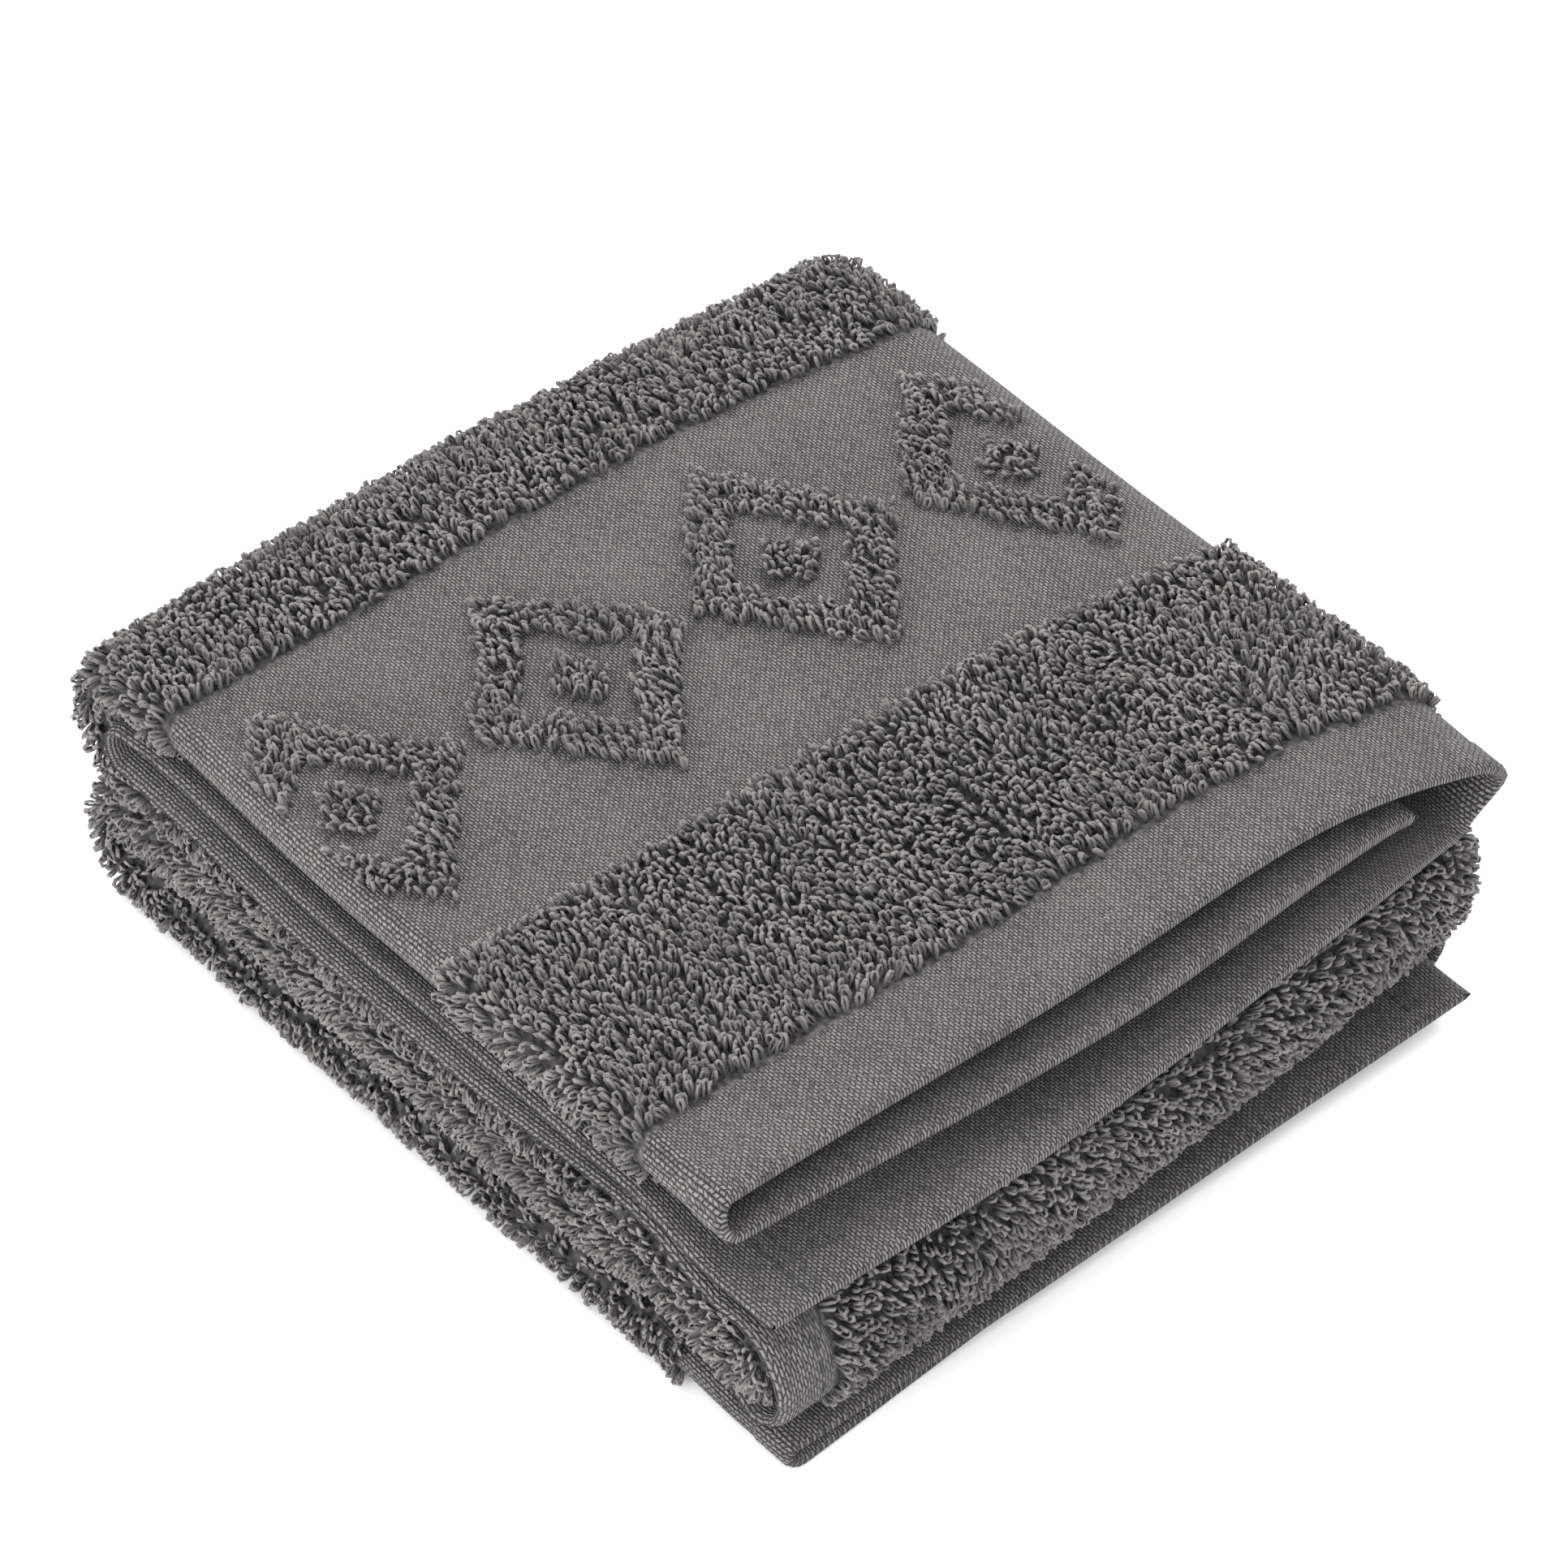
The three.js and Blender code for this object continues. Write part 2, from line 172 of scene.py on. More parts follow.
class Section:
    """The points across the folded width, from the inner third's free edge to the outer third's."""

    def __init__(self, step, inner_turns=9, outer_turns=11):
        self.rows = []
        free = EDGE_INNER_HEM_A
        for x in places(free, FOLD_INNER_X, step):
            drift = (EDGE_INNER_HEM_B - free) * (x - FOLD_INNER_X) / (free - FOLD_INNER_X)
            self.rows.append((x, 0, 0, -1, free - x, drift, 0, 0, 0))
        for turn in np.linspace(0, math.pi, inner_turns + 1)[1:-1]:
            x = FOLD_INNER_X - FOLD_INNER_REACH * math.sin(turn)
            layer = (1 - math.cos(turn)) / 2
            self.rows.append((x, layer, -math.sin(turn), -math.cos(turn), FAR, 0, 0, 0, 0))
        for x in places(FOLD_INNER_X, FOLD_OUTER_X, step, edge_at_start=False):
            self.rows.append((x, 1, 0, 1, FAR, 0, 0, 0, 1))
        for turn in np.linspace(0, math.pi, outer_turns + 1)[1:-1]:
            x = FOLD_OUTER_X + FOLD_OUTER_REACH * math.sin(turn)
            self.rows.append((x, math.cos(turn), math.sin(turn), math.cos(turn), FAR, 0, 0, 1, 0))
        for x in places(EDGE_OUTER, FOLD_OUTER_X, step)[::-1]:
            drawn_in = (FOLD_OUTER_X - x) / (FOLD_OUTER_X - EDGE_OUTER)
            self.rows.append((x, -1, 0, -1, x - EDGE_OUTER, 0, drawn_in, 0, 0))
        names = ("x", "layer", "nx", "nz", "from_edge", "drift", "drawn_in", "skips", "on_top")
        for name, column in zip(names, np.array(self.rows, float).T):
            setattr(self, name, column)
        steps = np.hypot(np.diff(self.x), np.diff(self.layer) * LAYER_GAP)
        self.u = np.concatenate([[0], np.cumsum(steps)])

    def pick(self, values):
        """A value for each point from those of the middle, inner and outer third."""
        middle, inner, outer = values
        behind = np.where(
            self.layer >= 0, mix(inner, middle, self.layer), mix(inner, outer, -self.layer)
        )
        return np.where(self.skips > 0, mix(outer, middle, (self.layer + 1) / 2), behind)


def places(start, end, step, edge_at_start=True):
    """Even places from start to end, with a few close ones at a free edge."""
    close = np.array([0, 0.5, 1.2, 2.5, 5, 8, 10.5, 12]) if edge_at_start else np.array([0])
    rest = np.linspace(close[-1], abs(end - start), round(abs(end - start) / step) + 1)
    return start + math.copysign(1, end - start) * np.concatenate([close[:-1], rest])


section = Section(COLUMN_STEP)


def front_stop(x):
    return -(along_curve(TURNS[1][2], x) - 2 * TURN_STEP - TURN_DEPTHS[2] - TURN_RUN_UP)


def left_height(leg, x, y):
    if leg not in LEFT_RISE:
        return 0
    rise = LEFT_RISE[leg]
    height = section.pick((0, rise["inner"], rise["outer"])) * (section.skips == 0)
    return height * ease(-x, *rise["across"]) * ease(y, *rise["along"])


def leg_height(leg, x, y):
    back, centre, front = (section.pick(values) for values in LEGS[leg][1:])
    behind = mix(centre, back, ease(y, CENTRE_BACK_Y, BACK_Y))
    before = mix(centre, front, ease(-np.maximum(y, front_stop(x)), -CENTRE_FRONT_Y, -FRONT_Y))
    return np.where(y > CENTRE_BACK_Y, behind, before) + left_height(leg, x, y)


def hem_place(hem, x):
    return section.pick([along_curve(curve, x) for curve in hem])


def turn_shape(turn, x):
    side, middle_outermost, reach = TURNS[turn]
    inside = 1 - section.layer if middle_outermost else 1 + section.layer
    outermost, inner, innermost = TURN_DEPTHS
    depth = np.where(inside < 1, mix(outermost, inner, inside), mix(inner, innermost, inside - 1))
    return depth, side * (along_curve(reach, x) - TURN_STEP * inside - depth)


def uneven(p):
    """Leans, waves and mounds of the whole stack, at points p."""
    x, y, z = (p[..., i].copy() for i in range(3))
    leftness = ease(-x, 20, 84)
    height = np.clip(z / LEAN_HEIGHT, 0, 1)
    along = ease(-y, -78, -15)
    x += leftness * (LEAN_IN * (1 - height) - LEAN_OUT * height * along)
    x -= along_curve(DRAWN_IN, z) * ease(x, 50, 84) * ease(-y, 50, 84)
    for (at_x, at_y, width, depth, size), share in (
        (HEM_LIFT, ease(z, 44, 52)),
        (CORNER_DROP, -ease(z, 40, 56)),
    ):
        z += share * size * bump(x, at_x, width) * bump(y, at_y, depth)
    z += WAVE * ease(z, 6, 50) * (np.sin(x / 23 + y / 61) + np.sin(y / 27 - x / 70))
    return np.stack([x, y, z], -1)


# The rows along the length


def stations():
    """For each leg, the places in Y between which its rows lie, as functions of X."""
    hem_a = lambda v: lambda x: hem_place(HEM_A, x) + v
    hem_b = lambda v: lambda x: hem_place(HEM_B, x) + v
    at = lambda y: lambda x: np.full(len(x), float(y))
    turn = lambda i: lambda x: turn_shape(i, x)[1]
    return [
        [*map(hem_a, (0, 0.5, EDGE_ROUND, 3, TURNED_HEM - 0.4, TURNED_HEM + 0.4, HEADER_A - 1)),
         *map(hem_a, (HEADER_A + 1, BAND_START - 1, BAND_START + 1, BAND_END - 1, BAND_END + 1)),
         turn(0)],
        [turn(0), at(BACK_Y), at(CENTRE_BACK_Y), at(CENTRE_FRONT_Y), front_stop, turn(1)],
        [turn(1), front_stop, at(CENTRE_FRONT_Y), at(CENTRE_BACK_Y), at(BACK_Y), turn(2)],
        [turn(2), at(BACK_Y), at(CENTRE_BACK_Y), at(-25), hem_b(HEADER_B + PRESSED),
         hem_b(HEADER_B), *map(hem_b, (TURNED_HEM + 0.4, TURNED_HEM - 0.4, 3, EDGE_ROUND, 0.5, 0))],
    ]


def drifted(share):
    """The section's X at a share of the length, where the thirds' free edges drift."""
    return section.x + section.drift * share + section.drawn_in * along_curve(EDGE_OUTER_IN, share)


def leg_row(leg, y):
    forward = 0.5 - y / LEG_LENGTH
    x = drifted((leg + np.clip(forward if leg % 2 else 1 - forward, 0, 1)) / len(LEGS))
    z = leg_height(leg, x, y)
    up = LEGS[leg][0]
    zero = np.zeros(len(x))
    return {
        "x": x, "y": y, "z": z, "ny": zero, "nz": zero + up,
        "hem_a": y - hem_place(HEM_A, x) if leg == 0 else zero + FAR,
        "hem_b": y - hem_place(HEM_B, x) if leg == 3 else zero + FAR,
    }


def turn_row(turn, angle):
    x = drifted(np.full(len(section.x), (turn + 1) / len(LEGS)))
    depth, centre = turn_shape(turn, x)
    top, bottom = leg_height(turn, x, centre), leg_height(turn + 1, x, centre)
    side, up = TURNS[turn][0], LEGS[turn][0]
    zero = np.zeros(len(x))
    return {
        "x": x,
        "y": centre + side * depth * math.sin(angle),
        "z": (top + bottom) / 2 + (top - bottom) / 2 * math.cos(angle),
        "ny": zero + up * side * math.sin(angle),
        "nz": zero + up * math.cos(angle),
        "hem_a": zero + FAR,
        "hem_b": zero + FAR,
    }


def cloth_rows():
    rows = []
    for leg, stops in enumerate(stations()):
        ends = [stop(section.x) for stop in stops]
        for i, (start, end) in enumerate(zip(ends, ends[1:])):
            count = max(1, round(float(np.abs(end - start).mean()) / ROW_STEP))
            shares = np.linspace(0, 1, count + 1)[(1 if i else 0):]
            rows += [leg_row(leg, mix(start, end, share)) for share in shares]
        if leg < len(TURNS):
            angles = np.linspace(0, math.pi, TURN_ROWS + 1)[1:-1]
            rows += [turn_row(leg, angle) for angle in angles]
    return {name: np.array([row[name] for row in rows]) for name in rows[0]}


rows = cloth_rows()
ROW_COUNT, COLUMN_COUNT = rows["x"].shape
u_at = section.u
lengths = np.sqrt(np.diff(rows["y"], axis=0) ** 2 + np.diff(rows["z"], axis=0) ** 2).mean(1)
v_at = np.concatenate([[0], np.cumsum(lengths)])


def face_points(side, half, on_floor=True):
    """Points of one face of the cloth, half a thickness off its middle."""
    off = half * side
    p = np.stack([
        rows["x"] + section.nx * off,
        rows["y"] + section.nz * rows["ny"] * off,
        rows["z"] + section.nz * rows["nz"] * off,
    ], -1)
    p = uneven(p) - np.array(SOURCE_CENTRE)
    if on_floor:
        p[..., 2] = np.maximum(p[..., 2], 0)
    return p


def figure_mask(x, v):
    """Whether a place on the band lies on a figure's stroke or dot."""
    middle = (BAND_START + BAND_END) / 2
    across = np.abs(x % FIGURE_PITCH - FIGURE_PITCH / 2)
    steps = across / FIGURE_CELL[0] + np.abs(v - middle) / FIGURE_CELL[1]
    return (np.abs(steps - FIGURE_STEPS) < FIGURE_STROKE) | (steps < FIGURE_DOT)


# What of the cloth is exposed, from rays that leave it


def grid_faces(row_count, column_count):
    index = np.arange(row_count * column_count).reshape(row_count, column_count)
    corners = [index[:-1, :-1], index[:-1, 1:], index[1:, 1:], index[1:, :-1]]
    return np.stack(corners, -1).reshape(-1, 4)


def cloth_tree():
    """Both faces of the cloth, a little inside its pile, to send rays at."""
    half = np.full(rows["x"].shape, FLAT_HALF)
    sheets = [face_points(side, half).reshape(-1, 3) for side in (1, -1)]
    points = np.concatenate(sheets) * MM
    faces = grid_faces(ROW_COUNT, COLUMN_COUNT)
    faces = np.concatenate([faces, faces + len(sheets[0])])
    return BVHTree.FromPolygons(points.tolist(), faces.tolist())


cloth_rays = cloth_tree()
RAY_TILT = math.radians(58)
RAY_COUNT = 6
RAY_START = PILE_HALF + 0.8


def openness(points, normals):
    """The share of rays from each point, in mm, that leave the towel."""
    side = normalised(np.cross(normals, np.array([0.31, 0.52, 0.79])))
    other = np.cross(normals, side)
    rays = [normals]
    for turn in np.linspace(0, 2 * math.pi, RAY_COUNT, endpoint=False):
        flat = math.cos(turn) * side + math.sin(turn) * other
        rays.append(math.cos(RAY_TILT) * normals + math.sin(RAY_TILT) * flat)
    free = np.zeros(points.shape[:-1])
    for ray in rays:
        hit = [cloth_rays.ray_cast(p, d)[0] is None
               for p, d in zip((points * MM).reshape(-1, 3).tolist(), ray.reshape(-1, 3).tolist())]
        free += np.array(hit).reshape(free.shape)
    return free / len(rays)


def blurred(a):
    a = np.pad(a, 1, mode="edge")
    a = (a[:-2] + 2 * a[1:-1] + a[2:]) / 4
    return (a[:, :-2] + 2 * a[:, 1:-1] + a[:, 2:]) / 4


class Face:
    """One face of the cloth: its points, normals, zones and what of it is exposed."""

    def __init__(self, side):
        full = np.full(rows["x"].shape, PILE_HALF)
        outer = face_points(side, full + 1, on_floor=False)
        self.normal = normalised(outer - face_points(side, full, on_floor=False))
        self.open = openness(face_points(side, full + RAY_START - PILE_HALF, False), self.normal)
        hem_a, hem_b = rows["hem_a"], rows["hem_b"]
        from_edge = np.broadcast_to(section.from_edge, hem_a.shape)
        past_start = ease(hem_a, BAND_START - 1, BAND_START + 1)
        on_band = past_start * (1 - ease(hem_a, BAND_END - 1, BAND_END + 1))
        along = ease(hem_a, HEADER_A - 1, HEADER_A + 1) * ease(hem_b, HEADER_B, HEADER_B + PRESSED)
        self.pile = along * ease(from_edge, SIDE_HEM - 1, SIDE_HEM + 1) * (1 - on_band)
        self.hem = np.maximum(
            1 - ease(np.minimum(hem_a, hem_b), TURNED_HEM - 0.4, TURNED_HEM + 0.4),
            1 - ease(from_edge, SIDE_HEM - 1, SIDE_HEM + 1),
        )
        flat = mix(THIN_HALF, FLAT_HALF, self.hem)
        shown = blurred(blurred(ease(self.open, 0.0, 0.3)))
        half = mix(flat, mix(PILE_HALF, ROOT_HALF, shown), self.pile)
        near_end = ease(np.minimum(hem_a, hem_b), 0, EDGE_ROUND)
        near_side = ease(from_edge, -0.4, EDGE_ROUND)
        self.half = mix(EDGE_HALF, half, np.minimum(near_end, near_side))
        self.point = face_points(side, self.half)
        self.along = normalised(np.gradient(self.point, axis=0))
        span = np.cross(np.gradient(self.point, u_at, axis=1), np.gradient(self.point, v_at, axis=0))
        self.stretch = np.linalg.norm(span, axis=-1)
        self.on_top = np.broadcast_to(section.on_top * (side > 0), hem_a.shape)
        self.hem_a, self.hem_b, self.from_edge = hem_a, hem_b, from_edge
        self.x = rows["x"] + 0 * hem_a


outside, inside = Face(1), Face(-1)


class Spots:
    """Places on a face at distances u across and v along the cloth, between its grid points."""

    def __init__(self, face, u, v):
        self.face = face
        self.c = np.clip(np.searchsorted(u_at, u) - 1, 0, COLUMN_COUNT - 2)
        self.r = np.clip(np.searchsorted(v_at, v) - 1, 0, ROW_COUNT - 2)
        self.fu = (u - u_at[self.c]) / (u_at[self.c + 1] - u_at[self.c])
        self.fv = (v - v_at[self.r]) / (v_at[self.r + 1] - v_at[self.r])
        self.u, self.v = u, v

    def get(self, name):
        a = getattr(self.face, name)
        fu, fv = (f.reshape(f.shape + (1,) * (a.ndim - 2)) for f in (self.fu, self.fv))
        near = mix(a[self.r, self.c], a[self.r, self.c + 1], fu)
        far = mix(a[self.r + 1, self.c], a[self.r + 1, self.c + 1], fu)
        return mix(near, far, fv)

    def kept(self, mask):
        return Spots(self.face, self.u[mask], self.v[mask])


# Making meshes


def mesh_object(name, points, faces, material, uv=None, attributes=None):
    """A smooth mesh from points in mm and four-sided faces, with UVs by corner and values by point."""
    mesh = bpy.data.meshes.new(name)
    mesh.vertices.add(len(points))
    mesh.vertices.foreach_set("co", (points * MM).astype(np.float32).ravel())
    mesh.loops.add(faces.size)
    mesh.loops.foreach_set("vertex_index", faces.astype(np.int32).ravel())
    mesh.polygons.add(len(faces))
    mesh.polygons.foreach_set("loop_start", np.arange(0, faces.size, 4, dtype=np.int32))
    mesh.update(calc_edges=True)
    mesh.polygons.foreach_set("use_smooth", np.ones(len(faces), bool))
    if uv is not None:
        mesh.uv_layers.new(name="cloth").uv.foreach_set("vector", uv.astype(np.float32).ravel())
    for key, values in (attributes or {}).items():
        attribute = mesh.attributes.new(key, "FLOAT", "POINT")
        attribute.data.foreach_set("value", values.astype(np.float32).ravel())
    mesh.validate()
    mesh.materials.append(material)
    made = bpy.data.objects.new(name, mesh)
    bpy.context.scene.collection.objects.link(made)
    return made


def tubes(centres, across, radius, sides):
    """Tubes along centres, an array of tubes by stations by 3. across is a direction for each tube that
    is square to its plane. Returns points and four-sided faces, and the UV of each face's corners."""
    count, stations_count = centres.shape[:2]
    tangent = normalised(np.gradient(centres, axis=1))
    e1 = np.broadcast_to(across[:, None, :], centres.shape)
    e1 = normalised(e1 - (e1 * tangent).sum(-1, keepdims=True) * tangent)
    e2 = np.cross(tangent, e1)
    turn = np.arange(sides) / sides * 2 * math.pi
    ring = np.cos(turn)[:, None] * e1[:, :, None, :] + np.sin(turn)[:, None] * e2[:, :, None, :]
    points = centres[:, :, None, :] + ring * radius[..., None, None]
    index = np.arange(count * stations_count * sides).reshape(count, stations_count, sides)
    after = np.roll(index, -1, axis=2)
    faces = np.stack([index[:, :-1], after[:, :-1], after[:, 1:], index[:, 1:]], -1)
    length = np.concatenate(
        [np.zeros((count, 1)), np.cumsum(np.linalg.norm(np.diff(centres, axis=1), axis=-1), axis=1)], 1
    )
    low = np.broadcast_to(np.arange(sides) / sides, (count, stations_count - 1, sides))
    start = np.broadcast_to(length[:, :-1, None], low.shape)
    end = np.broadcast_to(length[:, 1:, None], low.shape)
    uv = np.stack([
        np.stack([start, low], -1), np.stack([start, low + 1 / sides], -1),
        np.stack([end, low + 1 / sides], -1), np.stack([end, low], -1),
    ], -2)
    return points.reshape(-1, 3), faces.reshape(-1, 4), uv.reshape(-1, 2)


# Materials


class Nodes:
    """Short ways to add nodes to a material."""

    def __init__(self, name):
        self.material = bpy.data.materials.new(name)
        self.material.use_nodes = True
        self.tree = self.material.node_tree
        self.shader = self.tree.nodes["Principled BSDF"]

    def add(self, kind, inputs=(), **settings):
        node = self.tree.nodes.new(kind)
        for key, value in settings.items():
            setattr(node, key, value)
        for key, value in dict(inputs).items():
            self.put(node.inputs[key], value)
        return node

    def put(self, socket, value):
        if isinstance(value, bpy.types.NodeSocket):
            self.tree.links.new(value, socket)
        else:
            socket.default_value = value

    def surface(self, inputs):
        for key, value in inputs.items():
            self.put(self.shader.inputs[key], value)

    def math(self, operation, *values, clamp=False):
        node = self.add("ShaderNodeMath", enumerate(values), operation=operation, use_clamp=clamp)
        return node.outputs[0]

    def mix(self, factor, a, b):
        return self.math("ADD", a, self.math("MULTIPLY", factor, self.math("SUBTRACT", b, a)))

    def blend(self, factor, a, b):
        node = self.add("ShaderNodeMix", {0: factor, 6: a, 7: b}, data_type="RGBA")
        return node.outputs[2]

    def value(self, name):
        return self.add("ShaderNodeAttribute", attribute_name=name).outputs["Fac"]

    def place(self):
        """The place on the cloth or along a yarn, in mm."""
        on_map = self.add("ShaderNodeUVMap", uv_map="cloth").outputs[0]
        split = self.add("ShaderNodeSeparateXYZ", {0: on_map})
        return split.outputs[0], split.outputs[1]

    def at(self, u, v):
        return self.add("ShaderNodeCombineXYZ", {0: u, 1: v}).outputs[0]

    def noise(self, vector, scale, detail=2.0, roughness=0.5):
        inputs = {"Vector": vector, "Scale": scale, "Detail": detail, "Roughness": roughness}
        return self.add("ShaderNodeTexNoise", inputs).outputs["Fac"]

    def dashes(self, u, v, size):
        """Short light dashes along V, laid like bricks. The size is their pitch along and across. The
        node caps the gap between its bricks, so it works at a quarter of the scale."""
        grey = {"Color1": (1, 1, 1, 1), "Color2": (0.4, 0.4, 0.4, 1), "Mortar": (0, 0, 0, 1)}
        sizes = {"Brick Width": size[0] / 4, "Row Height": size[1] / 4, "Mortar Size": size[1] / 8.6}
        inputs = {"Vector": self.at(v, u), "Scale": 1 / 4, "Mortar Smooth": 1.0, **grey, **sizes}
        return self.add("ShaderNodeTexBrick", inputs).outputs["Color"]

    def wave(self, value, period):
        """A triangle wave from 0 to 1 with this period."""
        return self.math("PINGPONG", self.math("DIVIDE", value, period / 2), 1.0)


# The weave's dashes on the flat cloth and on the hems, how far they stray, and what makes up the tone
GRAIN, HEM_GRAIN = (1.2, 0.58), (1.3, 0.64)
WEAVE_STRAY = 0.5
WEAVE_TONE, FLECK_TONE, FIBRE_TONE, BROAD_TONE = 1.35, 0.45, 0.4, 0.25
CLOTH_RELIEF, YARN_RELIEF = 0.28, 0.12
CLOTH_DARK, CLOTH_LIGHT = (0.008, 0.0075, 0.0075, 1), (0.166, 0.158, 0.156, 1)
YARN_DARK, YARN_LIGHT = (0.016, 0.015, 0.015, 1), (0.154, 0.145, 0.144, 1)
# YARN_DARK and YARN_MIDDLE also colour the cloth under the pile, as painted shade between the loops
YARN_MIDDLE = (0.07, 0.066, 0.066, 1)
THREAD_DARK, THREAD_LIGHT = (0.012, 0.013, 0.02, 1), (0.042, 0.045, 0.062, 1)


def cloth_material():
    """The woven cloth: a fine weave, a coarser one on the hems, and a rough ground under the pile,
    painted dark as shade between the loops.
    """
    n = Nodes("woven_cloth")
    u, v = n.place()
    at = n.at(u, v)
    shift = n.math("MULTIPLY", n.math("SUBTRACT", n.noise(at, 0.5), 0.5), WEAVE_STRAY)
    du, dv = n.math("ADD", u, shift), n.math("SUBTRACT", v, shift)
    grain = n.dashes(du, dv, GRAIN)
    skewed = n.math("ADD", dv, n.math("MULTIPLY", n.wave(du, 2 * HEM_GRAIN[1]), HEM_GRAIN[1]))
    hem_grain = n.dashes(du, skewed, HEM_GRAIN)
    flecks = n.noise(n.at(n.math("MULTIPLY", u, 1.3), n.math("MULTIPLY", v, 1.7)), 1.0, 2.0, 0.7)
    flecks = n.math("MULTIPLY", n.math("SUBTRACT", flecks, 0.5), 1.9)
    fibre = n.math("SUBTRACT", n.noise(n.at(n.math("MULTIPLY", u, 3.0), v), 2.2, 3.0), 0.5)
    relief = n.mix(n.value("hem"), grain, hem_grain)
    # The ground under the pile: tufts in relief, with painted shade in the gaps between them
    tufts = n.add("ShaderNodeTexVoronoi", {"Vector": at, "Scale": 0.95}, feature="SMOOTH_F1")
    ground_relief_and_shade = n.math("SUBTRACT", 1.0, n.math("MULTIPLY", tufts.outputs["Distance"], 1.6), clamp=True)
    pile = n.value("pile")
    relief = n.mix(pile, relief, ground_relief_and_shade)
    broad = n.math("SUBTRACT", n.noise(at, 0.05, 2.0), 0.5)
    tone = n.math("ADD", n.math("MULTIPLY", relief, WEAVE_TONE), n.math("MULTIPLY", flecks, FLECK_TONE))
    tone = n.math("ADD", tone, n.math("MULTIPLY", fibre, FIBRE_TONE))
    tone = n.math("ADD", tone, n.math("MULTIPLY", broad, BROAD_TONE), clamp=True)
    colour = n.blend(tone, CLOTH_DARK, CLOTH_LIGHT)
    # Under the pile the cloth takes dark yarn colours, as painted shade between the loops
    colour = n.blend(pile, colour, n.blend(ground_relief_and_shade, YARN_DARK, YARN_MIDDLE))
    height = n.math("ADD", relief, n.math("MULTIPLY", fibre, 0.25))
    height = n.math("ADD", height, n.math("MULTIPLY", n.math("MULTIPLY", ground_relief_and_shade, pile), 2.0))
    bumped = {"Height": height, "Distance": CLOTH_RELIEF * MM, "Strength": 1.0}
    n.surface({
        "Base Color": colour,
        "Normal": n.add("ShaderNodeBump", bumped).outputs[0],
        "Roughness": 0.9,
        "Sheen Weight": 0.03,
        "Sheen Roughness": 0.6,
        "Specular IOR Level": 0.2,
    })
    return n.material


def yarn_material(name, dark, light, twist, sheen):
    """Two-ply yarn, darker at the root of a loop than at its tip, where the darkening is painted shade.
    """
    n = Nodes(name)
    along, around = n.place()
    spiral = n.math("ADD", n.math("MULTIPLY", along, twist), n.math("MULTIPLY", around, 2.0))
    ply = n.wave(spiral, 1.0)
    fibre = n.noise(n.at(n.math("MULTIPLY", along, 1.2), n.math("MULTIPLY", around, 9.0)), 1.6, 3.0)
    tone = n.math("MULTIPLY", n.value("tone"), n.mix(fibre, 0.55, 1.45), clamp=True)
    height = n.math("ADD", ply, n.math("MULTIPLY", fibre, 0.5))
    bumped = {"Height": height, "Distance": YARN_RELIEF * MM, "Strength": 0.8}
    n.surface({
        "Base Color": n.blend(tone, dark, light),
        "Normal": n.add("ShaderNodeBump", bumped).outputs[0],
        "Roughness": 0.85,
        "Sheen Weight": sheen,
        "Sheen Roughness": 0.5,
        "Specular IOR Level": 0.25,
    })
    return n.material


# The cloth itself


def cloth_object(material):
    """A ring of points in every row, round both faces and both free edges, with both ends closed."""
    def edge(column, way):
        x, y, z = (rows[name][:, column] for name in "xyz")
        p = uneven(np.stack([x + way * EDGE_ROUND, y, z], -1)) - np.array(SOURCE_CENTRE)
        return p[:, None, :]

    ring = np.concatenate([outside.point, edge(-1, -1), inside.point[:, ::-1], edge(0, 1)], 1)
    column_uv = np.concatenate([u_at, [u_at[-1] + 1], u_at[::-1], [-1]])
    size = ring.shape[1]
    index = np.arange(ROW_COUNT * size).reshape(ROW_COUNT, size)
    after = np.roll(index, -1, axis=1)
    faces = [np.stack([index[:-1], after[:-1], after[1:], index[1:]], -1).reshape(-1, 4)]
    for row, flip in ((0, False), (ROW_COUNT - 1, True)):
        out = index[row, :COLUMN_COUNT]
        back = index[row, COLUMN_COUNT + 1:2 * COLUMN_COUNT + 1][::-1]
        cap = np.stack([out[1:], out[:-1], back[:-1], back[1:]], -1)
        faces.append(cap[:, ::-1] if flip else cap)
    faces = np.concatenate(faces)
    flat_u = np.broadcast_to(column_uv, (ROW_COUNT, size)).ravel()
    flat_v = np.repeat(v_at, size)
    uv = np.stack([flat_u[faces.ravel()], flat_v[faces.ravel()]], -1)

    def by_ring(name):
        out, back = getattr(outside, name), getattr(inside, name)
        return np.concatenate([out, out[:, -1:], back[:, ::-1], out[:, :1]], 1)

    values = {"pile": by_ring("pile"), "hem": by_ring("hem")}
    return mesh_object("towel_cloth", ring.reshape(-1, 3), faces, material, uv, values)


# The pile: sizes in mm, leans in radians

LOOP_SPACING = 1.53
LOOP_HEIGHT = 2.9
LOOP_WIDTH = 1.0
YARN_RADIUS = 0.36
LEAN, LEAN_UNDER = (0.1, 0.75), (1.2, 1.45)
LEAN_WAY = 0.6
LOOPS_A_PIECE = 6000
FIBRE_WIDTH = 0.06
FIBRES_A_LOOP = 1.2

# How far places stray in their rows and zones' borders from their lines, how exposed a loop's place is
# at least, which loops of the underside are made, and how near the floor a loop comes
JITTER = 0.36
RAGGED = 1.2
LEAST_OPEN = 0.06
UNDERSIDE_STEP = 3
LOWEST = 0.08

# A loop's yarn, from root to root: how far up, how far out, how thick and how light it is there. The
# lightness is painted shade, darkest at the roots.
LOOP_UP = np.array([0, 0.66, 0.96, 0.96, 0.66, 0])
LOOP_OUT = np.array([-0.1, -0.5, -0.26, 0.26, 0.5, 0.1])
LOOP_THICK = np.array([0.85, 1, 1.05, 1.05, 1, 0.85])
LOOP_ROOT_SHADE = np.array([0.1, 0.8, 1, 1, 0.8, 0.1])


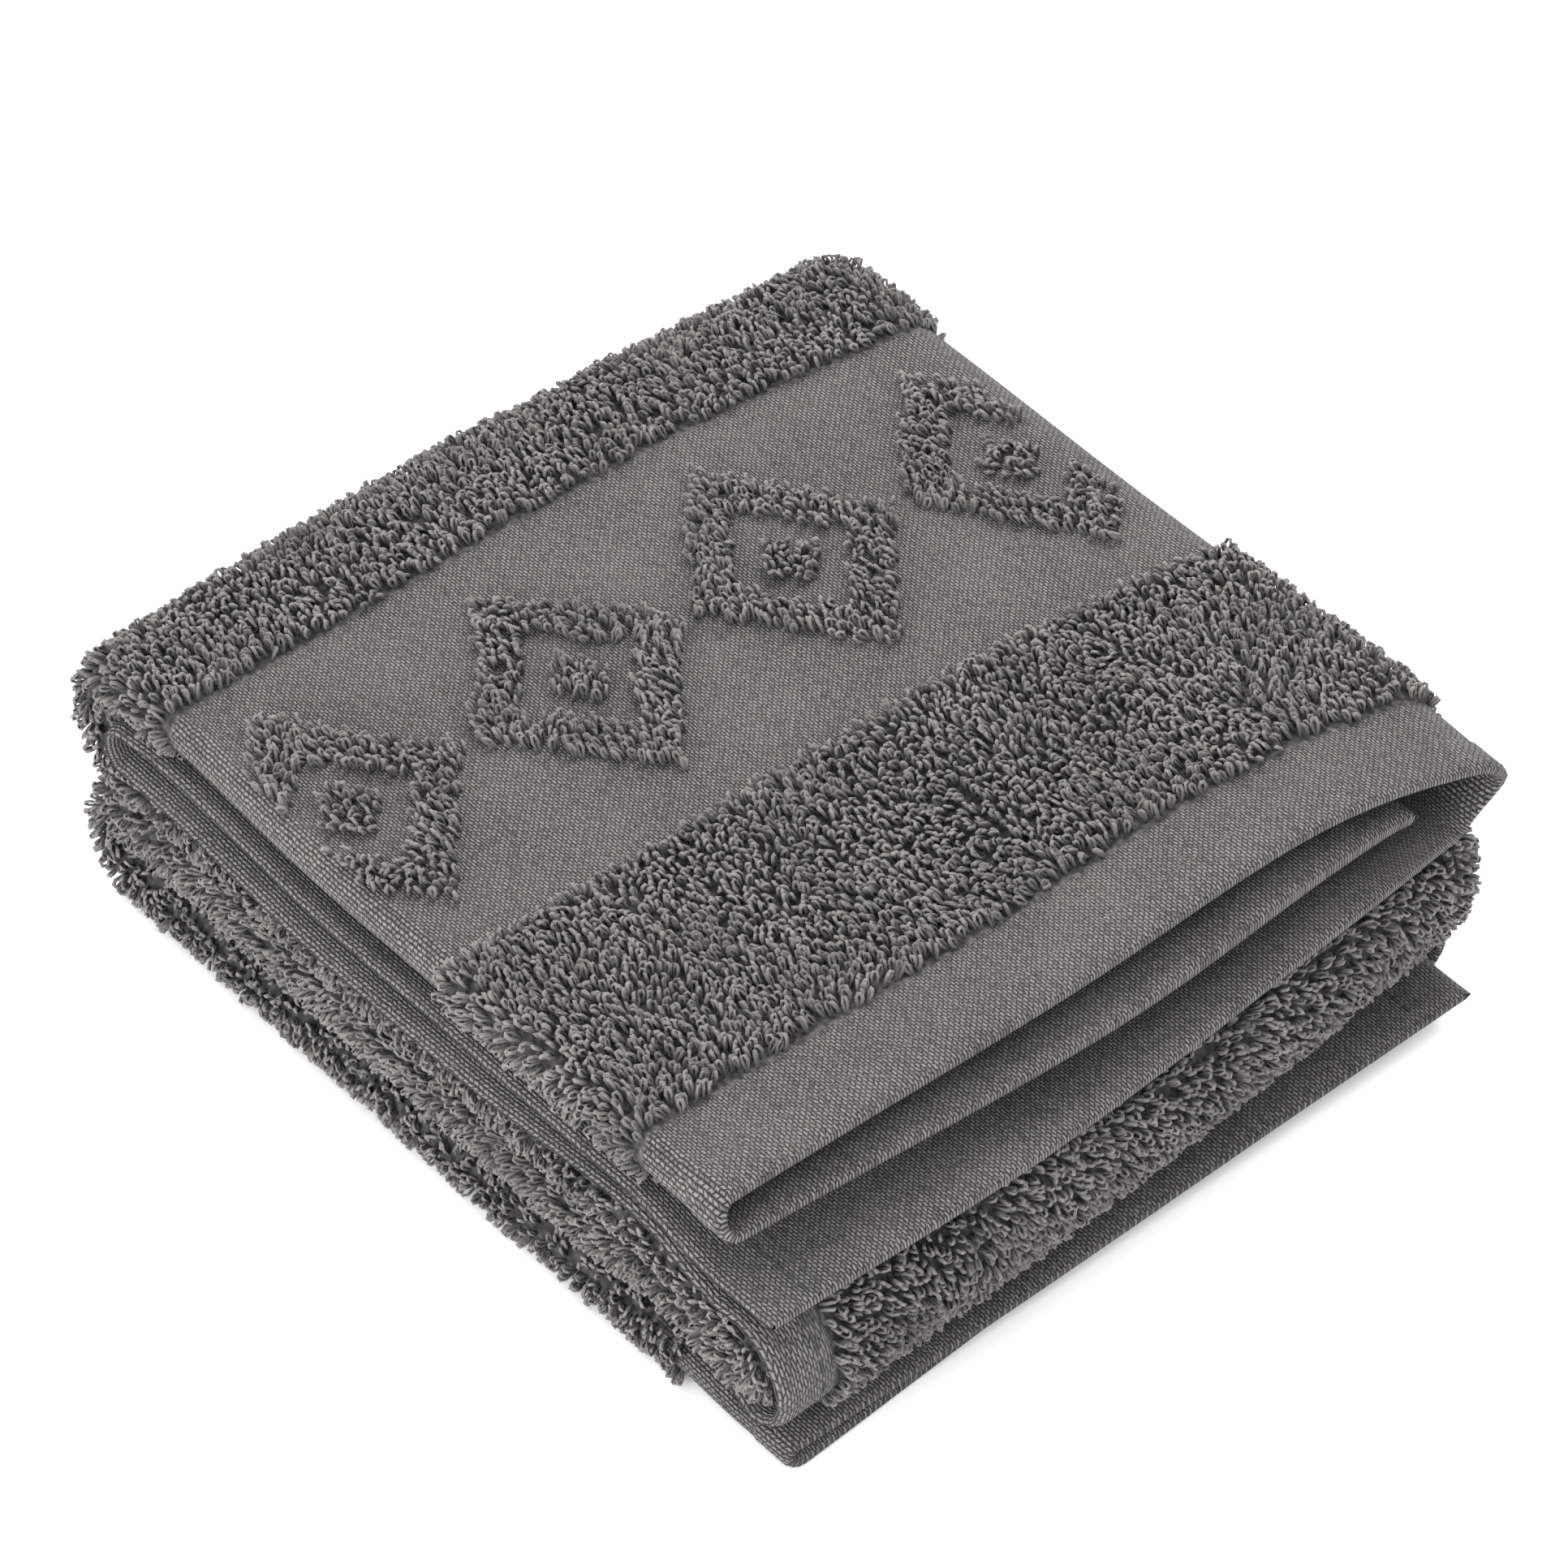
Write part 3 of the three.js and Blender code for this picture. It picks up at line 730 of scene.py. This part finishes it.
def pile_spots(face, spacing, rng):
    """Jittered places in rows over the exposed pile of a face. A second lap of rows, half a step off,
    fills in where the face is stretched past the cloth's middle."""
    us = np.arange(spacing, u_at[-1] - spacing, spacing)
    vs = np.arange(spacing, v_at[-1] - spacing, spacing)
    places_uv = []
    for lap in (0, 1):
        u, v = (a.ravel() + lap * spacing / 2 for a in np.meshgrid(us, vs))
        u = u + rng.uniform(-JITTER, JITTER, len(u)) * spacing
        v = v + rng.uniform(-JITTER, JITTER, len(v)) * spacing
        wanted = Spots(face, u, v).get("stretch") - lap > rng.random(len(u))
        places_uv.append((u[wanted], v[wanted]))
    u, v = np.concatenate(places_uv, axis=1)
    spots = Spots(face, u, v)
    hem_a, hem_b, from_edge = spots.get("hem_a"), spots.get("hem_b"), spots.get("from_edge")
    stray = (noise(u, v, 2.5, 11) - 0.5) * RAGGED
    band = (hem_a > BAND_START + stray) & (hem_a < BAND_END + stray)
    in_length = (hem_a > HEADER_A + stray) & (hem_b > HEADER_B + 4)
    plain = in_length & (from_edge > SIDE_HEM + stray) & ~band
    figured = band & (spots.get("on_top") > 0.5) & figure_mask(spots.get("x"), hem_a)
    return spots.kept((plain | figured) & (spots.get("open") > LEAST_OPEN))


class Loops:
    """The loops of pile that stand at some places, leaning in clumps."""

    def __init__(self, spots, rng, lean_range):
        count = len(spots.u)
        some = lambda low, high: rng.uniform(low, high, count)[:, None]
        about = lambda spread: rng.normal(0, spread, count)[:, None]
        self.root, normal = spots.get("point"), normalised(spots.get("normal"))
        along = spots.get("along")
        along = normalised(along - (along * normal).sum(-1, keepdims=True) * normal)
        across = np.cross(normal, along)
        swirl = noise(spots.u, spots.v, 22, 21) + 0.5 * noise(spots.u, spots.v, 7, 22) - 0.75
        turn = LEAN_WAY + 2.6 * swirl[:, None] + about(0.5)
        low, high = lean_range
        lean = low + (high - low) * noise(spots.u, spots.v, 8, 23)[:, None] + about(0.15)
        lean = np.clip(lean, 0.02, 1.5)
        toward = np.cos(turn) * along + np.sin(turn) * across
        self.axis = np.cos(lean) * normal + np.sin(lean) * toward
        facing = 2 * math.pi * noise(spots.u, spots.v, 7, 24)[:, None] + about(0.6)
        wide = np.cos(facing) * along + np.sin(facing) * across
        self.wide = normalised(wide - (wide * self.axis).sum(-1, keepdims=True) * self.axis)
        self.square = np.cross(self.axis, self.wide)
        free = mix(0.5, 1, ease(spots.get("open"), 0, 0.55))[:, None]
        self.height = LOOP_HEIGHT * some(0.8, 1.15) * free
        self.width = LOOP_WIDTH * some(0.8, 1.25)
        self.twist = some(-1.2, 1.2)
        self.bend = some(0.0, 0.45)
        self.droop = toward - normal
        self.radius = YARN_RADIUS * some(0.85, 1.15)
        # Each loop's random tone, times broad patches of painted light and shade that stand for clumps
        # leaning towards and away from the light.
        lean_shade_patch = 0.6 * noise(spots.u, spots.v, 9, 31) + 0.4 * noise(spots.u, spots.v, 4, 32)
        self.light = some(0.72, 1.05) * mix(0.68, 1.28, lean_shade_patch)[:, None]

    def centre(self, up):
        return self.root + self.height * (up * self.axis + self.bend * up * up * self.droop * 0.5)

    def tubes(self, sides):
        centres = []
        for up, out in zip(LOOP_UP, LOOP_OUT):
            spin = self.twist * (1 - up)
            aside = np.cos(spin) * self.wide + np.sin(spin) * self.square
            centres.append(self.centre(up) + out * self.width * aside)
        points, faces, uv = tubes(np.stack(centres, 1), self.square, self.radius * LOOP_THICK, sides)
        points[:, 2] = np.maximum(points[:, 2], LOWEST)
        # The tone is painted shade, darkest at the roots, times each loop's own lightness.
        tone = LOOP_ROOT_SHADE * self.light
        return points, faces, uv, np.repeat(tone.ravel(), sides)

    def fibres(self, rng, count):
        """Fine fibres that stray from the loops' heads, each a narrow strip."""
        pick = rng.integers(0, len(self.root), count)
        up = rng.uniform(0.55, 1.0, count)[:, None]
        start = self.root[pick] + self.height[pick] * up * self.axis[pick]
        start = start + self.wide[pick] * self.width[pick] * rng.uniform(-0.8, 0.8, count)[:, None]
        way = normalised(normalised(rng.normal(size=(count, 3))) + 0.7 * self.axis[pick])
        end = start + way * rng.uniform(0.4, 1.3, count)[:, None]
        across = normalised(np.cross(way, rng.normal(size=(count, 3)))) * FIBRE_WIDTH / 2
        points = np.stack([start - across, start + across, end + across * 0.4, end - across * 0.4], 1)
        points[..., 2] = np.maximum(points[..., 2], LOWEST)
        return points.reshape(-1, 3)


def pile_objects(material):
    """The pile in pieces of joined loops, and one piece of stray fibres."""
    made, strips = [], []
    rng = np.random.default_rng(5)
    for face in (outside, inside):
        spots = pile_spots(face, LOOP_SPACING, rng)
        under = (spots.get("normal")[:, 2] < -0.9) & (spots.get("point")[:, 2] < 4)
        seen, below = spots.kept(~under), spots.kept(under)
        below = below.kept(np.arange(len(below.u)) % UNDERSIDE_STEP == 0)
        for part, lean in ((seen, LEAN), (below, LEAN_UNDER)):
            part = part.kept(np.argsort(part.v, kind="stable"))
            for start in range(0, len(part.u), LOOPS_A_PIECE):
                loops = Loops(part.kept(slice(start, start + LOOPS_A_PIECE)), rng, lean)
                points, faces, uv, tone = loops.tubes(3)
                name = f"pile_{len(made) + 1:02d}"
                made.append(mesh_object(name, points, faces, material, uv, {"tone": tone}))
                if lean == LEAN:
                    strips.append(loops.fibres(rng, int(FIBRES_A_LOOP * len(loops.root))))
    points = np.concatenate(strips)
    faces = np.arange(len(points)).reshape(-1, 4)
    uv = np.tile([(0, 0), (0, 0.1), (1, 0.1), (1, 0)], (len(faces), 1))
    tone = np.full(len(points), 0.9)
    return [*made, mesh_object("pile_fibres", points, faces, material, uv, {"tone": tone})]


# The seams of the side hems

SEAMS = (8.3, 11.2)
STITCH_PITCH = 2.9
STITCH_LENGTH = 2.3
THREAD_RADIUS = 0.17
SEAM_LEAST_OPEN = 0.15


def seam_objects(material):
    v = np.arange(2, v_at[-1] - 3, STITCH_PITCH)
    share = np.linspace(0, 1, 5)
    centres, square = [], []
    for face in (outside, inside):
        for seam in SEAMS:
            for u in (seam, u_at[-1] - seam):
                middle = Spots(face, np.full(len(v), u), v + STITCH_LENGTH / 2)
                keep = middle.get("open") > SEAM_LEAST_OPEN
                line = []
                for t in share:
                    spots = Spots(face, np.full(keep.sum(), u), v[keep] + STITCH_LENGTH * t)
                    rise = THREAD_RADIUS * (2.0 * math.sin(math.pi * t) - 0.6)
                    line.append(spots.get("point") + normalised(spots.get("normal")) * rise)
                centres.append(np.stack(line, 1))
                middle = middle.kept(keep)
                square.append(np.cross(middle.get("normal"), middle.get("along")))
    centres, square = np.concatenate(centres), np.concatenate(square)
    radius = np.full(centres.shape[:2], THREAD_RADIUS)
    points, faces, uv = tubes(centres, normalised(square), radius, 4)
    return mesh_object("hem_stitches", points, faces, material, uv, {"tone": np.full(len(points), 0.8)})


cloth = cloth_object(cloth_material())
loop_yarn = yarn_material("loop_yarn", YARN_DARK, YARN_LIGHT, 0.9, 0.1)
thread = yarn_material("sewing_thread", THREAD_DARK, THREAD_LIGHT, 1.6, 0.05)
pile = pile_objects(loop_yarn)
stitches = seam_objects(thread)
pieces = [cloth, *pile, stitches]
for piece in pieces:
    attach(piece, "root")
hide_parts("towel")

# Floor, light and camera

FLOOR_SIZE = 8


def floor_object():
    n = Nodes("pale_floor")
    n.surface({"Base Color": (0.93, 0.93, 0.93, 1), "Roughness": 0.9})
    mesh = bpy.data.meshes.new("floor")
    far = FLOOR_SIZE / 2
    corners = [(-far, -far, 0), (far, -far, 0), (far, far, 0), (-far, far, 0)]
    mesh.from_pydata(corners, [], [(0, 1, 2, 3)])
    mesh.materials.append(n.material)
    made = bpy.data.objects.new("floor", mesh)
    bpy.context.scene.collection.objects.link(made)


def area_light(name, place, aim, size, power):
    data = bpy.data.lights.new(name, "AREA")
    data.shape = "DISK"
    data.size = size
    data.energy = power
    made = bpy.data.objects.new(name, data)
    made.location = place
    made.rotation_mode = "QUATERNION"
    made.rotation_quaternion = (Vector(aim) - Vector(place)).to_track_quat("-Z", "Y")
    bpy.context.scene.collection.objects.link(made)


def studio():
    world = bpy.data.worlds.new("studio")
    world.use_nodes = True
    back = world.node_tree.nodes["Background"]
    back.inputs["Color"].default_value = (1, 1, 1, 1)
    back.inputs["Strength"].default_value = 1.8
    bpy.context.scene.world = world
    area_light("key", (0.5, 0.4, 0.8), (0, 0, 0.03), 0.6, 10.5)
    area_light("left_fill", (-1.5, -0.4, 0.45), (0, 0, 0.03), 1.0, 29)
    bpy.context.scene.view_settings.view_transform = "Standard"


CAMERA_AIM = (5.129, 10.549, 29.0)
CAMERA_AZIMUTH, CAMERA_ELEVATION = -39.7, 41.75
CAMERA_DISTANCE = 1500
CAMERA_LENS = 198.33


def camera():
    a, e = math.radians(CAMERA_AZIMUTH), math.radians(CAMERA_ELEVATION)
    back = Vector((math.sin(a) * math.cos(e), -math.cos(a) * math.cos(e), math.sin(e)))
    data = bpy.data.cameras.new("camera")
    data.sensor_width = 36
    data.lens = CAMERA_LENS
    data.clip_start, data.clip_end = 0.1, 20
    made = bpy.data.objects.new("camera", data)
    made.location = (Vector(CAMERA_AIM) + back * CAMERA_DISTANCE) * MM
    made.rotation_mode = "QUATERNION"
    made.rotation_quaternion = (-back).to_track_quat("-Z", "Y")
    bpy.context.scene.collection.objects.link(made)
    bpy.context.scene.camera = made


floor_object()
studio()
camera()
